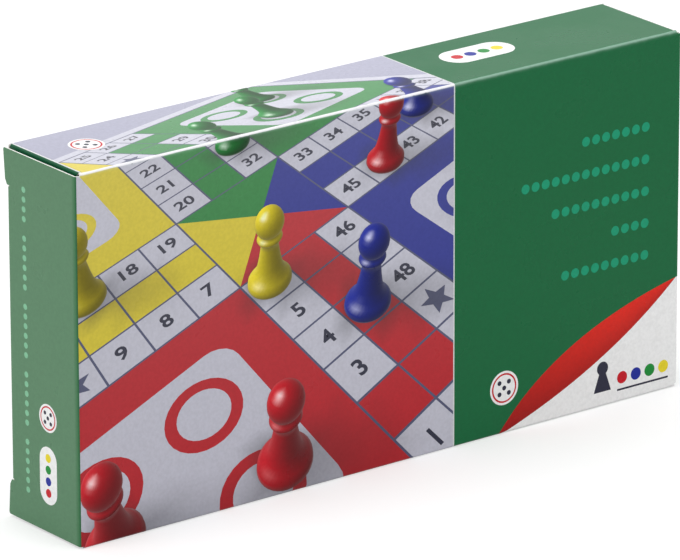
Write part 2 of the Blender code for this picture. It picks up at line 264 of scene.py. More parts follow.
def bumped(tree, shader, *reliefs):
    """Raises the surface by each (height, distance, strength) in turn."""
    last = None
    for level, distance, strength in reliefs:
        made = tree.nodes.new("ShaderNodeBump")
        made.inputs["Distance"].default_value = distance
        made.inputs["Strength"].default_value = strength
        feed(tree, made.inputs["Height"], level)
        if last:
            feed(tree, made.inputs["Normal"], last)
        last = made.outputs["Normal"]
    feed(tree, shader.inputs["Normal"], last)


def read(tree, attribute, output):
    made = tree.nodes.new("ShaderNodeAttribute")
    made.attribute_name = attribute
    return made.outputs[output]


def effect(name, inlets, outlets):
    """An empty group for an effect that several materials share, with what comes in and what goes out."""
    group = bpy.data.node_groups.new(name, "ShaderNodeTree")
    for label, kind in inlets.items():
        group.interface.new_socket(label, in_out="INPUT", socket_type="NodeSocket" + kind)
    for label, kind in outlets.items():
        group.interface.new_socket(label, in_out="OUTPUT", socket_type="NodeSocket" + kind)
    return group, group.nodes.new("NodeGroupInput").outputs, group.nodes.new("NodeGroupOutput").inputs


def shared(tree, group, values):
    """Places a shared effect in a material with the material's own values."""
    made = tree.nodes.new("ShaderNodeGroup")
    made.node_tree = group
    for label, value in values.items():
        feed(tree, made.inputs[label], value)
    return made.outputs


# Ink from the mesh's own colours, a little uneven as the rollers leave it
ink_group, inlet, outlet = effect("ink", {"Place": "Vector", "Scale": "Float"}, {"Colour": "Color"})
rollers = noise(ink_group, inlet["Place"], inlet["Scale"], detail=3)
rollers = spread(ink_group, rollers, 0.2, 0.8, 0.94, 1.05)
pigment = read(ink_group, "print", "Color")
feed(ink_group, outlet["Colour"], mixed(ink_group, 1.0, pigment, rollers, "MULTIPLY"))

# Gloss that hands and rubbing leave cloudy
gloss_group, inlet, outlet = effect(
    "uneven_gloss",
    {"Place": "Vector", "Scale": "Float", "Glossy": "Float", "Dull": "Float"},
    {"Roughness": "Float", "Cloud": "Float"},
)
cloud = noise(gloss_group, inlet["Place"], inlet["Scale"], detail=4, roughness=0.6)
cloud = spread(gloss_group, cloud, 0.3, 0.7)
feed(gloss_group, outlet["Cloud"], cloud)
feed(gloss_group, outlet["Roughness"], spread(gloss_group, cloud, 0, 1, inlet["Glossy"], inlet["Dull"]))

# Matted fibres of board and paper
fibre_group, inlet, outlet = effect(
    "fibre",
    {"Place": "Vector", "Stretch": "Vector", "Scale": "Float", "Dark": "Color", "Pale": "Color"},
    {"Colour": "Color", "Height": "Float"},
)
matted = drawn_out(fibre_group, inlet["Place"], inlet["Stretch"])
matted = spread(fibre_group, noise(fibre_group, matted, inlet["Scale"], detail=6, roughness=0.7), 0.3, 0.7)
feed(fibre_group, outlet["Height"], matted)
feed(fibre_group, outlet["Colour"], mixed(fibre_group, matted, inlet["Dark"], inlet["Pale"]))

# The printed side: ink under a clear film, a little wavy, rubbed pale and lit by a painted highlight where it
# is creased
laminated, tree, shader, where = finish("laminated_print", 0.3, ior=1.27)
inked = shared(tree, ink_group, {"Place": where, "Scale": 900})["Colour"]
patchy = spread(tree, noise(tree, where, 260, detail=4), 0.3, 0.7, 0.86, 1.08)
# Along a crease the ink is mixed towards a pale green: partly wear, partly a painted highlight
rub_and_highlight = spread(tree, sums(tree, "MULTIPLY", read(tree, "crease", "Fac"), patchy), 0.1, 0.85, 0, 0.85)
scuffed_and_highlight = mixed(tree, 0.4, inked, (0.72, 0.98, 0.86))
feed(tree, shader.inputs["Base Color"], mixed(tree, rub_and_highlight, inked, scuffed_and_highlight))
film = shared(tree, gloss_group, {"Place": where, "Scale": 38, "Glossy": 0.27, "Dull": 0.33})["Roughness"]
feed(tree, shader.inputs["Roughness"], sums(tree, "ADD", film, sums(tree, "MULTIPLY", rub_and_highlight, 0.2)))
bumped(
    tree, shader,
    (noise(tree, where, 14, detail=1), 0.25 * MM, 0.25),
    (noise(tree, where, 520, detail=2), 0.004 * MM, 0.3),
)

# The bare inner side: grey-white board of recycled fibre, with darker specks
bare, tree, shader, where = finish("bare_board", 0.85)
board_fibre = shared(
    tree, fibre_group,
    {
        "Place": where, "Stretch": (1, 0.5, 0.5), "Scale": 1500,
        "Dark": (0.55, 0.53, 0.49), "Pale": (0.65, 0.63, 0.59),
    },
)
specks = spread(tree, noise(tree, where, 2200, detail=2), 0.66, 0.76)
feed(tree, shader.inputs["Base Color"], mixed(tree, specks, board_fibre["Colour"], (0.30, 0.28, 0.25)))
bumped(tree, shader, (board_fibre["Height"], 0.008 * MM, 0.5))

# Its cut edge: paler, with the plies pressed by the die
cut_edge, tree, shader, where = finish("cut_board_edge", 0.8)
crushed = shared(
    tree, fibre_group,
    {
        "Place": where, "Stretch": (1, 1, 1), "Scale": 1800,
        "Dark": (0.74, 0.75, 0.71), "Pale": (0.92, 0.93, 0.89),
    },
)
feed(tree, shader.inputs["Base Color"], crushed["Colour"])
bumped(tree, shader, (crushed["Height"], 0.016 * MM, 0.7))

girth = 2 * (height + depth)
front_foot = crease(0, (0, front, 0), (0, -1, 0), (0, 0, -1), wear_and_highlight=0.2)
front_top = crease(height, (0, front, height), (0, 0, 1), (0, -1, 0), wear_and_highlight=1.0)
back_top = crease(height + depth, (0, back, height), (0, 1, 0), (0, 0, 1), wear_and_highlight=0.35)
back_foot = crease(2 * height + depth, (0, back, 0), (0, 0, -1), (0, 1, 0), wear_and_highlight=0.35)
closing = crease(girth, (0, front, 0), (0, -1, 0), (0, 0, -1), wear_and_highlight=0.2)
SLEEVE_CREASES = (front_foot, front_top, back_top, back_foot, closing)
front_end = right - CREASE - BY_CREASE
roof_end = open_end - CREASE - BY_CREASE

bm = flat_sheet()
shape(bm, ((-1, 0), (1, 0), (1, 1), (-1, 1)), GREEN)
for vert in bm.verts:
    vert.co = (vert.co.x * front_end, vert.co.y * girth - CREASE, 0)
for end in (-open_end, -roof_end, roof_end, open_end):
    cut(bm, (end, 0, 0), (1, 0, 0))
for at in (0, height, height + depth, 2 * height + depth, girth):
    for offset in (-CREASE, CREASE):
        cut(bm, (0, at + offset, 0), (0, 1, 0))
spare = []
for face in bm.faces:
    middle = face.calc_center_median()
    on_front = CREASE < middle.y < height - CREASE
    on_top = height + CREASE < middle.y < height + depth - CREASE
    on_level = on_top or 2 * height + depth + CREASE < middle.y < girth - CREASE
    if (abs(middle.x) > open_end and not on_front) or (abs(middle.x) > roof_end and on_level):
        spare.append(face)
bmesh.ops.delete(bm, geom=spare, context="FACES")
score(bm, SLEEVE_CREASES)
fold(bm, SLEEVE_CREASES)
bmesh.ops.remove_doubles(bm, verts=bm.verts, dist=0.01 * MM)
sleeve = piece("carton_sleeve", bm, laminated, bare, cut_edge)
thicken(sleeve, BOARD)
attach(sleeve, "carton")
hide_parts("front_panel", "top_panel", "back_panel", "bottom_panel")

# Closures, tuck flaps and dust flaps. They are the same blank, cut beyond the sleeve's
# ends. A closure folds at the front panel's end, its tuck flap slides in behind the back
# panel, and slits at the fold leave a locking shoulder above and below it.
CLOSURE_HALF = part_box("left_closure")[1].z - height / 2
SHOULDER = 10.5 * MM
SHOULDER_ROUND = 0.9 * MM
SHOULDER_TAPER = 0.8 * MM  # its outer edge comes in towards the slit
TUCK_SETBACK = 1.8 * MM
TUCK_LENGTH = 11 * MM
TUCK_ROUND = 6 * MM
TUCK_CLEARANCE = 0.5 * MM
DUST_LENGTH = 24 * MM
DUST_ROUND = 3 * MM
DUST_CLEARANCE = 1.0 * MM
DUST_SLOPE = 0.5
END_GREEN_WITH_SHEEN = (0.096, 0.225, 0.120)  # the ends are painted paler than the front: a painted sheen of the light from the left
FOLD_GREEN_LESS_SHEEN = (0.053, 0.177, 0.076)  # with less painted sheen beside the fold
ROLL_GREEN_SHADED = (0.028, 0.140, 0.056)  # and painted shade on the fold's roll
FOLD_STRIP = 2.4 * MM  # how far past the fold the lesser painted sheen reaches
UNINKED = (0.78, 0.79, 0.80)
HIDDEN_GREEN = (0.002, 0.085, 0.032)
BADGE_WHITE = (0.90, 0.90, 0.90)
CORNER_RISE = 39.5 * MM  # where the print's white corner meets the right end
RIGHT_SHORT = 0.5 * MM  # the die cuts the right closure a little shorter than the left
WHOLE = -math.inf  # a band of colour along the whole fold

tuck_fold = depth - TUCK_SETBACK
shoulder = CLOSURE_HALF - SHOULDER
slit = shoulder - TUCK_SETBACK
flap_start = -CREASE - BY_CREASE


def outlined(bm, corners, colour):
    """A flat patch whose corners, given as (x, y, radius), are rounded by their radius."""
    verts = shape(bm, [corner[:2] for corner in corners], colour)
    for vert, (_, _, radius) in zip(verts, corners):
        if radius:
            bmesh.ops.bevel(
                bm, geom=[vert], affect="VERTICES", offset=radius, segments=6, profile=0.5, material=-1
            )
    paint(bm, bm.verts, colour)


def bend(sheet, parent, body, line):
    """The folded sheet follows the parent before its fold and the body past it, and bends between."""
    _, corner, along, outward, _ = line
    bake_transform(sheet, parent, body, corner - along * CREASE, corner - outward * CREASE)


def flap(name, corners, line, bands, parent):
    """A flap with its own crease, bending between the body that carries it and its own. Its bands are
    colours across the fold line, each from its distance past the line and its distance along it on."""
    bm = flat_sheet()
    outlined(bm, corners, bands[-1][-1])
    score(bm, [line])
    for past, along_from, _ in bands:
        if past > CREASE:
            cut(bm, (0, past + BOARD / 8, 0), (0, 1, 0))
        for end in (along_from, along_from - BOARD / 4):
            if abs(end) < height:
                cut(bm, (end, 0, 0), (1, 0, 0))
    for vert in bm.verts:
        for past, along_from, colour in bands:
            if vert.co.y > past and vert.co.x > along_from - BOARD / 8:
                paint(bm, [vert], colour)
    fold(bm, [line])
    made = piece(name, bm, laminated, bare, cut_edge)
    thicken(made, BOARD)
    body = name.replace("_board", "")
    bend(made, parent, body, line)
    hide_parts(body)


closure_lines = {}
for side, name in ((-1, "left"), (1, "right")):
    outer = side * right
    line = crease(0, (outer, front, height / 2), (side, 0, 0), (0, -1, 0))
    closure_lines[name] = line
    half_height = CLOSURE_HALF if side < 0 else CLOSURE_HALF - RIGHT_SHORT
    half = [
        (half_height, flap_start, 0),
        (half_height, depth, SHOULDER_ROUND),
        (shoulder, depth - SHOULDER_TAPER, 0),
        (slit, tuck_fold, 0),
        (slit, tuck_fold - CREASE - BY_CREASE, 0),
    ]
    corners = half + [(-x, y, radius) for x, y, radius in reversed(half)]
    if side < 0:
        on_front = ((-math.inf, WHOLE, UNINKED), (-0.9 * CREASE, WHOLE, ROLL_GREEN_SHADED))
    else:
        on_front = ((-math.inf, WHOLE, GREEN), (-math.inf, height / 2 - CORNER_RISE, BADGE_WHITE))
    # Past the fold: painted shade on the roll, less painted sheen beside it, then the ends' painted sheen
    bands = (*on_front, (0.3 * CREASE, WHOLE, FOLD_GREEN_LESS_SHEEN), (FOLD_STRIP, WHOLE, END_GREEN_WITH_SHEEN))
    flap(f"{name}_closure_board", corners, line, bands, "carton")

    line = crease(0, (outer, front + tuck_fold, height / 2), (0, 1, 0), (side, 0, 0), wear_and_highlight=0.4)
    half_tuck = slit - TUCK_CLEARANCE
    corners = [
        (half_tuck, flap_start, 0),
        (half_tuck, TUCK_LENGTH, TUCK_ROUND),
        (-half_tuck, TUCK_LENGTH, TUCK_ROUND),
        (-half_tuck, flap_start, 0),
    ]
    flap(f"{name}_tuck_flap_board", corners, line, ((-math.inf, WHOLE, END_GREEN_WITH_SHEEN),), f"{name}_closure")

    for level, high, upright in (("top", height, 1), ("bottom", 0, -1)):
        line = crease(0, (side * open_end, 0, high), (side, 0, 0), (0, 0, upright), wear_and_highlight=0.2)
        near = front + DUST_CLEARANCE
        far = back - DUST_CLEARANCE
        beside_tuck = front + tuck_fold - 1.3 * MM
        lock = height / 2 - CLOSURE_HALF + SHOULDER
        corners = [
            (near, flap_start, 0),
            (far, flap_start, 0),
            (far, lock - (far - beside_tuck), 0),
            (beside_tuck, lock, 0),
            (beside_tuck, DUST_LENGTH, DUST_ROUND),
            (near + DUST_SLOPE * DUST_LENGTH, DUST_LENGTH, DUST_ROUND),
        ]
        sense = -side * upright
        corners = [(sense * x, y, radius) for x, y, radius in corners]
        if sense < 0:
            corners.reverse()
        beside = UNINKED if side < 0 and level == "top" else GREEN
        bands = ((-math.inf, WHOLE, beside), (-0.9 * CREASE, WHOLE, HIDDEN_GREEN))
        flap(f"{name}_dust_flap_{level}_board", corners, line, bands, "carton")

# Picture. Printed over the front and the top in one: a plain ludo board seen low from
# one corner, with turned pawns standing on it. It is set out in squares of the board,
# seen through a lens, and laid down as thin layers of ink.
SQUARES = 15
YARD = 6
FRAME = 0.55  # of paper round the squares
PAPER = printed(214, 214, 228)
LINE = printed(84, 88, 122)
RED = printed(200, 8, 30)
PLAY_GREEN = printed(14, 138, 52)
YELLOW = printed(234, 214, 40)
BLUE = printed(20, 38, 152)
NUMERAL = printed(34, 36, 62)
TABLE_TOP = printed(172, 172, 196)  # the table that the pictured board lies on

PICTURE_LEFT = -front_end
PICTURE_RIGHT = 27.8 * MM
PICTURE_FOOT = -0.5 * MM  # just round the fold
PICTURE_TOP = height + depth - 0.5 * MM
PICTURE_BORDER = 0.5 * MM


def board_shape(bm, points, colour, layer):
    verts = shape(bm, points, colour)
    paint(bm, verts, colour, layer)
    return verts


def block(bm, u, w, across, up, colour, layer):
    return board_shape(bm, [(u, w), (u + across, w), (u + across, w + up), (u, w + up)], colour, layer)


def disc(bm, centre, radius, colour, layer, steps=28):
    made = bmesh.ops.create_circle(
        bm, cap_ends=True, segments=steps, radius=radius, matrix=Matrix.Translation((*centre, 0))
    )
    paint(bm, made["verts"], colour, layer)


def star(bm, centre, radius, colour, layer):
    points = []
    for step in range(10):
        turn = math.pi / 2 + step * math.pi / 5
        reach = radius if step % 2 == 0 else 0.45 * radius
        points.append((centre[0] + reach * math.cos(turn), centre[1] + reach * math.sin(turn)))
    board_shape(bm, points, colour, layer)


def track():
    """The lower left corners of the track's squares, round the board."""
    squares = [(6, w) for w in range(6)] + [(u, 6) for u in range(5, -1, -1)] + [(0, 7)]
    squares += [(u, 8) for u in range(6)] + [(6, w) for w in range(9, 15)] + [(7, 14)]
    squares += [(8, w) for w in range(14, 8, -1)] + [(u, 8) for u in range(9, 15)] + [(14, 7)]
    squares += [(u, 6) for u in range(14, 8, -1)] + [(8, w) for w in range(5, -1, -1)] + [(7, 0)]
    return squares


def draw_board(bm):
    """A whole ludo board in its own squares: yards, track, home columns and centre."""
    gap = 0.022
    block(bm, -FRAME, -FRAME, SQUARES + 2 * FRAME, SQUARES + 2 * FRAME, PAPER, 0)
    block(bm, -0.06, -0.06, SQUARES + 0.12, SQUARES + 0.12, LINE, 1)
    for u, w, colour in ((0, 0, RED), (0, 9, YELLOW), (9, 9, PLAY_GREEN), (9, 0, BLUE)):
        block(bm, u + gap, w + gap, YARD - 2 * gap, YARD - 2 * gap, colour, 2)
        verts = block(bm, u + 0.9, w + 0.9, 4.2, 4.2, PAPER, 3)
        bmesh.ops.bevel(bm, geom=verts, affect="VERTICES", offset=0.5, segments=5, profile=0.5, material=-1)
        for right_one in (2.0, 4.0):
            for upper_one in (2.0, 4.0):
                disc(bm, (u + right_one, w + upper_one), 0.72, colour, 4)
                disc(bm, (u + right_one, w + upper_one), 0.5, PAPER, 5)
    starts = {(6, 1): RED, (1, 8): YELLOW, (8, 13): PLAY_GREEN, (13, 6): BLUE}
    safe = ((2, 6), (6, 12), (12, 8), (8, 2))
    for u, w in track():
        block(bm, u + gap, w + gap, 1 - 2 * gap, 1 - 2 * gap, starts.get((u, w), PAPER), 2)
        if (u, w) in safe:
            star(bm, (u + 0.5, w + 0.5), 0.36, LINE, 3)
    for step in range(1, 6):
        homes = (7, step, RED), (step, 7, YELLOW), (7, 14 - step, PLAY_GREEN), (14 - step, 7, BLUE)
        for u, w, colour in homes:
            block(bm, u + gap, w + gap, 1 - 2 * gap, 1 - 2 * gap, colour, 2)
    middle = (7.5, 7.5)
    corners = ((6 + gap, 6 + gap), (9 - gap, 6 + gap), (9 - gap, 9 - gap), (6 + gap, 9 - gap))
    for index, colour in enumerate((RED, BLUE, PLAY_GREEN, YELLOW)):
        board_shape(bm, [corners[index], corners[(index + 1) % 4], middle], colour, 2)


def dice(bm, low, high, step):
    """Cuts the sheet into tiles, so that light and shadow can change over it."""
    for number in range(round((high - low) / step)):
        cut(bm, (low + number * step, 0, 0), (1, 0, 0))
        cut(bm, (0, low + number * step, 0), (0, 1, 0))


def number_track(bm, size=0.5):
    """Plain numbers on the squares of the track that hold nothing else."""
    taken = {(6, 1), (1, 8), (8, 13), (13, 6), (2, 6), (6, 12), (12, 8), (8, 2)}
    for number, (u, w) in enumerate(track(), 1):
        if (u, w) in taken:
            continue
        words = bpy.data.curves.new("numeral", "FONT")
        words.body = str(number)
        words.size = size
        words.offset = 0.012  # bold strokes
        words.align_x = "CENTER"
        words.align_y = "CENTER"
        words.resolution_u = 3
        holder = bpy.data.objects.new("numeral", words)
        mesh = bpy.data.meshes.new_from_object(holder)
        mesh.transform(Matrix.Translation((u + 0.5, w + 0.5, 0)))
        known = len(bm.verts)
        bm.from_mesh(mesh)
        bm.verts.ensure_lookup_table()
        paint(bm, bm.verts[known:], NUMERAL, 3)
        bpy.data.objects.remove(holder)
        bpy.data.curves.remove(words)
        bpy.data.meshes.remove(mesh)


YAW, PITCH = math.radians(33), math.radians(39)
LENS = 262 * MM
PICTURE_CENTRE = Vector((-49 * MM, 84 * MM))
AIM = Vector((6.9, 6.3, 0))
AWAY = 14.6
ahead = Vector((math.sin(YAW) * math.cos(PITCH), math.cos(YAW) * math.cos(PITCH), -math.sin(PITCH)))
aside = Vector((math.cos(YAW), -math.sin(YAW), 0))
above = aside.cross(ahead)
eye = AIM - ahead * AWAY
NEAR, FAR = 9.0, 26.0
LAMP = Vector((-0.55, 0.35, 0.76)).normalized()
SHADOW_WAY = Vector((0.80, -0.60))
# Where the pawns stand, in squares, and their colours
PAWNS = (
    (1.9, 3.1, RED), (4.5, 2.1, RED), (7.5, 3.5, BLUE), (6.5, 5.6, YELLOW), (3.5, 8.5, YELLOW),
    (2.1, 11.2, YELLOW), (8.5, 10.5, PLAY_GREEN), (11.1, 11.1, PLAY_GREEN),
    (13.0, 13.1, PLAY_GREEN), (10.6, 6.5, RED), (11.0, 3.6, BLUE), (12.6, 7.5, BLUE),
)
PAWN_SIZE = 1.12


def through_lens(point):
    """Where a point over the board lies in the picture."""
    ray = point - eye
    spread_out = LENS / ray.dot(ahead)
    return PICTURE_CENTRE.x + ray.dot(aside) * spread_out, PICTURE_CENTRE.y + ray.dot(above) * spread_out


def ground_light(point):
    """How bright the board is at a point: lit from the left, with a soft shadow beside each pawn."""
    light = 0.74 + 0.012 * (point.x + 0.5 * point.y)
    for u, w, _ in PAWNS:
        spot = Vector((point.x - u, point.y - w))
        along = min(max(spot.dot(SHADOW_WAY), 0), 1.5)
        distance = (spot - SHADOW_WAY * along).length
        soft = min(max((0.74 + 0.12 * along - distance) / (0.34 + 0.22 * along), 0), 1)
        light *= 1 - (0.62 - 0.27 * along) * soft * soft * (3 - 2 * soft)
    return light


def add_pawn(bm, u, w, colour):
    """A turned pawn, lit and lacquered: only what the lens sees of it, coloured corner by corner."""
    outline = [
        (0.001, 0), (0.40, 0), (0.43, 0.05), (0.42, 0.13), (0.36, 0.20), (0.29, 0.27), (0.24, 0.40),
        (0.20, 0.58), (0.17, 0.76), (0.16, 0.86), (0.22, 0.90), (0.24, 0.94), (0.21, 0.98), (0.17, 1.01),
    ]
    for step in range(1, 11):
        turn = math.radians(-52 + step * 14.2)
        outline.append((max(0.27 * math.cos(turn), 0.001), 1.22 + 0.27 * math.sin(turn)))
    solid = flat_sheet()
    chain = [solid.verts.new((radius, 0, high)) for radius, high in outline]
    edges = [solid.edges.new(pair) for pair in zip(chain, chain[1:])]
    bmesh.ops.spin(
        solid, geom=chain + edges, cent=(0, 0, 0), axis=(0, 0, 1), angle=2 * math.pi, steps=36, use_merge=True
    )
    bmesh.ops.remove_doubles(solid, verts=solid.verts, dist=0.002)
    bmesh.ops.recalc_face_normals(solid, faces=solid.faces)
    place = Matrix.Translation((u, w, 0)) @ Matrix.Scale(PAWN_SIZE, 4)
    bmesh.ops.transform(solid, verts=solid.verts, matrix=place)
    solid.normal_update()
    ink = solid.verts.layers.float_color["print"]
    level = solid.verts.layers.float["layer"]
    top = 1.5 * PAWN_SIZE
    for vert in solid.verts:
        to_eye = (eye - vert.co).normalized()
        facing = vert.normal.dot(to_eye)
        lit = max(0, (vert.normal.dot(LAMP) + 0.35) / 1.35)
        gleam = max(0, vert.normal.dot((to_eye + LAMP).normalized())) ** 42
        sheen = 0.10 * (1 - max(0, facing)) ** 3
        body = 0.16 + 0.95 * lit * lit + 0.10 * vert.co.z / top
        vert[ink] = (*[min(1, channel * body + 0.75 * gleam + sheen) for channel in colour], 1)
        vert[level] = 6 + 2.6 * (FAR - (vert.co - eye).dot(ahead)) / (FAR - NEAR)
    hidden = [face for face in solid.faces if face.normal.dot(eye - face.calc_center_median()) <= 0]
    bmesh.ops.delete(solid, geom=hidden, context="FACES")
    mesh = bpy.data.meshes.new("pawn")
    solid.to_mesh(mesh)
    solid.free()
    bm.from_mesh(mesh)
    bpy.data.meshes.remove(mesh)


bm = flat_sheet()
for u, w, wide, long in (
    (-14, -6, 44, 6 - FRAME), (-14, SQUARES + FRAME, 44, 23),
    (-14, -FRAME, 14 - FRAME, SQUARES + 2 * FRAME),
    (SQUARES + FRAME, -FRAME, 15 - FRAME, SQUARES + 2 * FRAME),
):
    block(bm, u, w, wide, long, TABLE_TOP, 0)
draw_board(bm)
dice(bm, -8, 30, 0.5)
number_track(bm)
ink = bm.verts.layers.float_color["print"]
level = bm.verts.layers.float["layer"]
hidden = [vert for vert in bm.verts if (vert.co - eye).dot(ahead) < 4]
bmesh.ops.delete(bm, geom=hidden, context="VERTS")
for vert in bm.verts:
    light = ground_light(vert.co)
    haze = min(max(((vert.co - eye).dot(ahead) - NEAR) / (FAR - NEAR), 0), 1) * 0.26
    vert[ink] = (*[channel * light * (1 - haze) + 0.52 * haze for channel in vert[ink][:3]], 1)
for pawn in PAWNS:
    add_pawn(bm, *pawn)
for vert in bm.verts:
    x, y = through_lens(vert.co)
    vert.co = (x, y, (vert[level] + 2) * INK_LAYER)

# It runs on round the left end's fold, where it bends with the closure
bleed = bm.copy()
for place, normal in (
    ((PICTURE_LEFT, 0, 0), (1, 0, 0)), ((left + 0.5 * CREASE, 0, 0), (-1, 0, 0)),
    ((0, height / 2 - CLOSURE_HALF, 0), (0, -1, 0)), ((0, height / 2 + CLOSURE_HALF, 0), (0, 1, 0)),
):
    cut(bleed, place, normal, clear=True)
for vert in bleed.verts:
    vert.co = (vert.co.y - height / 2, left - vert.co.x, vert.co.z)
score(bleed, [closure_lines["left"]])
fold(bleed, [closure_lines["left"]])
bleed_ink = piece("picture_bleed_ink", bleed, laminated)
bend(bleed_ink, "carton", "left_closure", closure_lines["left"])

cut(bm, (PICTURE_LEFT, 0, 0), (-1, 0, 0), clear=True)
cut(bm, (PICTURE_RIGHT, 0, 0), (1, 0, 0), clear=True)
cut(bm, (0, PICTURE_FOOT, 0), (0, -1, 0), clear=True)
cut(bm, (0, PICTURE_TOP, 0), (0, 1, 0), clear=True)
shape(
    bm,
    [
        (PICTURE_LEFT, PICTURE_FOOT), (PICTURE_RIGHT + PICTURE_BORDER, PICTURE_FOOT),
        (PICTURE_RIGHT + PICTURE_BORDER, PICTURE_TOP), (PICTURE_LEFT, PICTURE_TOP),
    ],
    WHITE,
    1,
)


def clear_open_end(bm):
    """Cuts ink off where the sleeve's top and its folds end short of the front panel."""
    for end in (-open_end, -roof_end, roof_end, open_end):
        cut(bm, (end, 0, 0), (1, 0, 0))
    spare = []
    for face in bm.faces:
        middle = face.calc_center_median()
        on_top = height + CREASE < middle.y < height + depth - CREASE
        if abs(middle.x) > (roof_end if on_top else open_end) and middle.y > height - CREASE:
            spare.append(face)
    bmesh.ops.delete(bm, geom=spare, context="FACES")


score(bm, SLEEVE_CREASES)
clear_open_end(bm)
for vert in bm.verts:
    if abs(vert.co.y - height) < 0.6 * CREASE:
        paint(bm, [vert], (0.98, 0.85, 0.95))  # the print cracks open along the crease, and a painted highlight lies on it
fold(bm, SLEEVE_CREASES)
picture = piece("picture_ink", bm, laminated)
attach(picture, "carton")

# Panel print. On the green part of the front: rows of mint dots, a white corner set off
# by a red sweep, and a round badge. On the top: a pill badge and a round one. All is
# printed with the rest and rides with the sleeve.
DARK = printed(40, 40, 60)
ROW_RIGHT = 111.5 * MM
ROW_PITCH = 4.3 * MM
DOT = 1.7 * MM
# Height of each row's middle, and its number of dots
ROWS = ((95.6 * MM, 7), (84.2 * MM, 13), (72.9 * MM, 10), (61.6 * MM, 4), (50.3 * MM, 9))
# Of a round badge: its rim, its red ring and its white middle, its pips' spacing and their radius
BIG_BADGE = (6 * MM, 5.2 * MM, 4.6 * MM, 2.0 * MM, 0.85 * MM)
SMALL_BADGE = (4.8 * MM, 4.1 * MM, 3.6 * MM, 1.6 * MM, 0.7 * MM)


def dot(bm, x, y, radius, colour, layer=1, steps=24):
    place = Matrix.Translation((x, y, layer * INK_LAYER))
    made = bmesh.ops.create_circle(bm, cap_ends=True, segments=steps, radius=radius, matrix=place)
    paint(bm, made["verts"], colour)


def pill(bm, x, y, long, wide, colour, layer=1):
    """A bar with round ends, lying along x. Long and wide are half of what it measures."""
    corners = [(x - long, y - wide), (x + long, y - wide), (x + long, y + wide), (x - long, y + wide)]
    verts = shape(bm, corners, colour, layer)
    made = bmesh.ops.bevel(
        bm, geom=verts, affect="VERTICES", offset=0.999 * wide, segments=9, profile=0.5, material=-1
    )
    paint(bm, made["verts"], colour)


def pawn_mark(bm, x, y, size, colour, layer=2):
    """A plain pawn's outline: ball, tapered body and foot."""
    dot(bm, x, y + 0.74 * size, 0.22 * size, colour, layer + 0.5)
    outline = ((-0.34, -0.02), (0.34, -0.02), (0.30, 0.10), (0.13, 0.58), (-0.13, 0.58), (-0.30, 0.10))
    shape(bm, [(x + a * size, y + b * size) for a, b in outline], colour, layer)


def pips(bm, x, y, spacing, radius, spots, colours, layer=2):
    for index, (a, b) in enumerate(spots):
        dot(bm, x + a * spacing, y + b * spacing, radius, colours[index % len(colours)], layer, steps=18)


def round_badge(bm, x, y, sizes, layer, step=1, rim_steps=40):
    """A white disc with a red ring and five dark pips, on layers that lie a step apart."""
    rim, ring, middle, spacing, pip = sizes
    dot(bm, x, y, rim, BADGE_WHITE, layer, rim_steps)
    dot(bm, x, y, ring, RED, layer + step, steps=36)
    dot(bm, x, y, middle, BADGE_WHITE, layer + 2 * step, steps=36)
    pips(bm, x, y, spacing, pip, FIVE, (DARK,), layer + 3 * step)


FIVE = ((-1, -1), (1, -1), (0, 0), (-1, 1), (1, 1))
FOUR_IN_A_ROW = ((-1.5, 0), (-0.5, 0), (0.5, 0), (1.5, 0))
GAME_COLOURS = (RED, BLUE, PLAY_GREEN, YELLOW)

bm = flat_sheet()
for middle, count in ROWS:
    for number in range(count):
        dot(bm, ROW_RIGHT - DOT - number * ROW_PITCH, middle, DOT, MINT)

CORNER_START = Vector((46.7 * MM, PICTURE_FOOT))  # where the white corner meets the foot of the panel
CORNER_END = Vector((front_end, CORNER_RISE))
# The points that draw the two edges of the red sweep off the straight
WHITE_SAG = Vector((94 * MM, 14 * MM))
RED_CROWN = Vector((70 * MM, 29 * MM))
SWEEP_STEPS = 24


def swept(bend, share):
    """A point of the curve from the foot to the end of the panel."""
    return CORNER_START * (1 - share) ** 2 + bend * 2 * share * (1 - share) + CORNER_END * share**2


edge_points = [swept(WHITE_SAG, step / SWEEP_STEPS) for step in range(SWEEP_STEPS + 1)]
shape(bm, [tuple(point) for point in edge_points] + [(front_end, PICTURE_FOOT)], BADGE_WHITE, 1)
deep_red, bright_red = Vector(printed(136, 0, 4)), Vector(printed(226, 36, 20))
made = bmesh.ops.create_grid(bm, x_segments=SWEEP_STEPS, y_segments=4, size=0.5)
for vert in made["verts"]:
    share, lower = vert.co.x + 0.5, 0.5 - vert.co.y
    place = swept(RED_CROWN.lerp(WHITE_SAG, lower), share)
    vert.co = (*place, 2 * INK_LAYER)
    paint(bm, [vert], deep_red.lerp(bright_red, min(1, 0.15 + 1.2 * share) * (1 - 0.55 * lower**2)))
pawn_mark(bm, 92 * MM, 5.5 * MM, 11 * MM, DARK)
for number, colour in enumerate(GAME_COLOURS):
    dot(bm, (100.6 + 6 * number) * MM, 8.6 * MM, 2.2 * MM, colour, 2)
pill(bm, 109.6 * MM, 4.4 * MM, 11.2 * MM, 0.35 * MM, DARK, 2)
round_badge(bm, 49.5 * MM, 16.2 * MM, BIG_BADGE, 3)

badge_y = height + 22.4 * MM
pill(bm, 55.2 * MM, badge_y, 14.3 * MM, 6.7 * MM, BADGE_WHITE, 1)
pips(bm, 55.2 * MM, badge_y, 5.6 * MM, 2.1 * MM, FOUR_IN_A_ROW, GAME_COLOURS, 2)
score(bm, SLEEVE_CREASES)
clear_open_end(bm)
fold(bm, SLEEVE_CREASES)
panel_print = piece("panel_ink", bm, laminated)
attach(panel_print, "carton")

